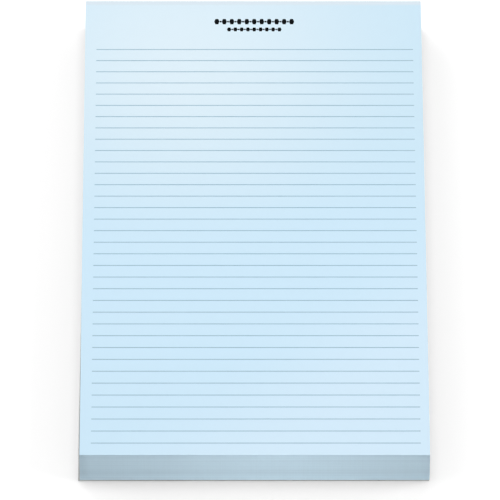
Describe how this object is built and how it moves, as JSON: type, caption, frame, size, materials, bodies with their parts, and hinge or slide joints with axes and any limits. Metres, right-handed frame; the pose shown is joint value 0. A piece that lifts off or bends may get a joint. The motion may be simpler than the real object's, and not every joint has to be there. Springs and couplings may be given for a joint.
{
  "type": "legal pad",
  "caption": "Thick light-blue ruled writing pad: sheets glued along the head to a stiff grey board, loose at the foot and sides.",
  "frame": {"origin": "middle of the pad's underside, on the surface that it lies on", "axes": "+Z out of the writing face, +Y towards the glued head, +X to the right of someone reading the pad"},
  "size_m": [0.127, 0.2036, 0.0178],
  "materials": {
    "paper": "matte",
    "chipboard": "matte",
    "padding_glue": "satin"
  },
  "bodies": {
    "root": {"sheet_block": "paper", "backing_board": "chipboard", "glue_binding": "padding_glue"}
  },
  "joints": []
}
